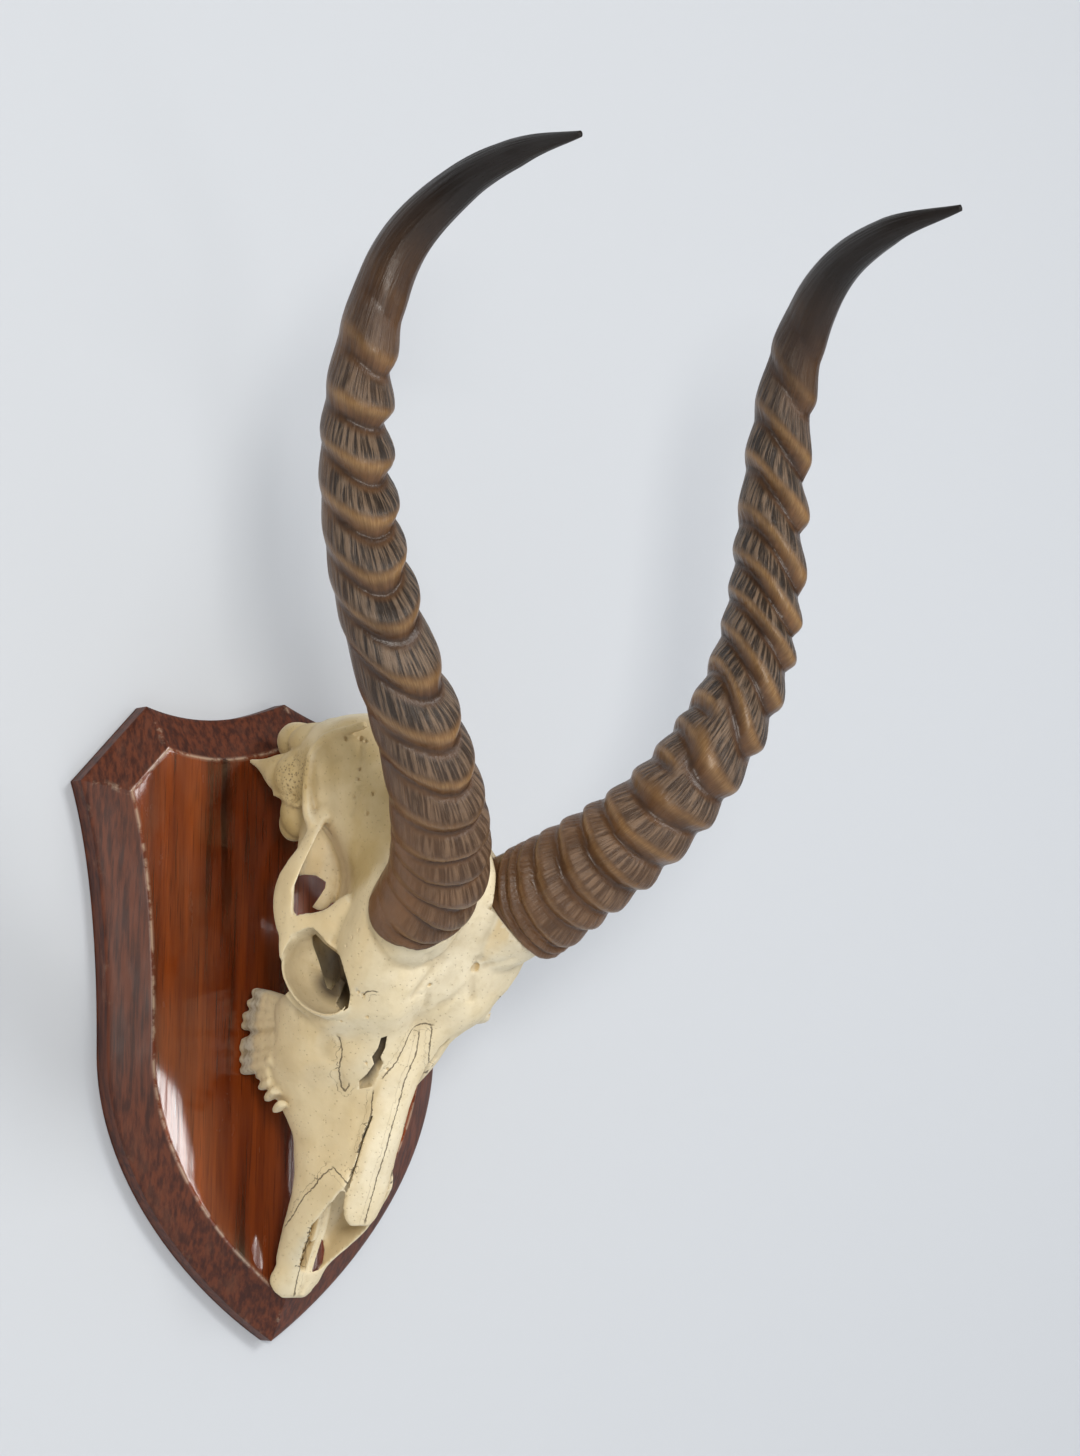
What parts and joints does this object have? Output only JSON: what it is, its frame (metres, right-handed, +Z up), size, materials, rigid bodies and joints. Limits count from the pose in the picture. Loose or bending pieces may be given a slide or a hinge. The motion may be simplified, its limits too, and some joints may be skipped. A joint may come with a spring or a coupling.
{
  "type": "kob skull with horns",
  "caption": "Antelope skull with ringed, lyre-shaped horns, fixed nose down on a heater-shaped wooden shield that hangs flat on a wall.",
  "frame": {"origin": "on the wall plane at the middle of the shield's flat back, half way up its height", "axes": "+Z up, +Y into the wall, +X to the right of a person facing the wall"},
  "size_m": [0.2995, 0.3724, 0.5476],
  "materials": {
    "mahogany": "dark red-brown, glossy varnish, worn pale along the inner edge of the bevel",
    "bone": "dry cream to ochre bone, matte with a slight sheen",
    "horn": "olive-brown keratin, satin on the ring crests, near black at the tips"
  },
  "bodies": {
    "root": {"shield_board": "mahogany", "skull": "bone", "horn_left": "horn", "horn_right": "horn"}
  },
  "joints": []
}
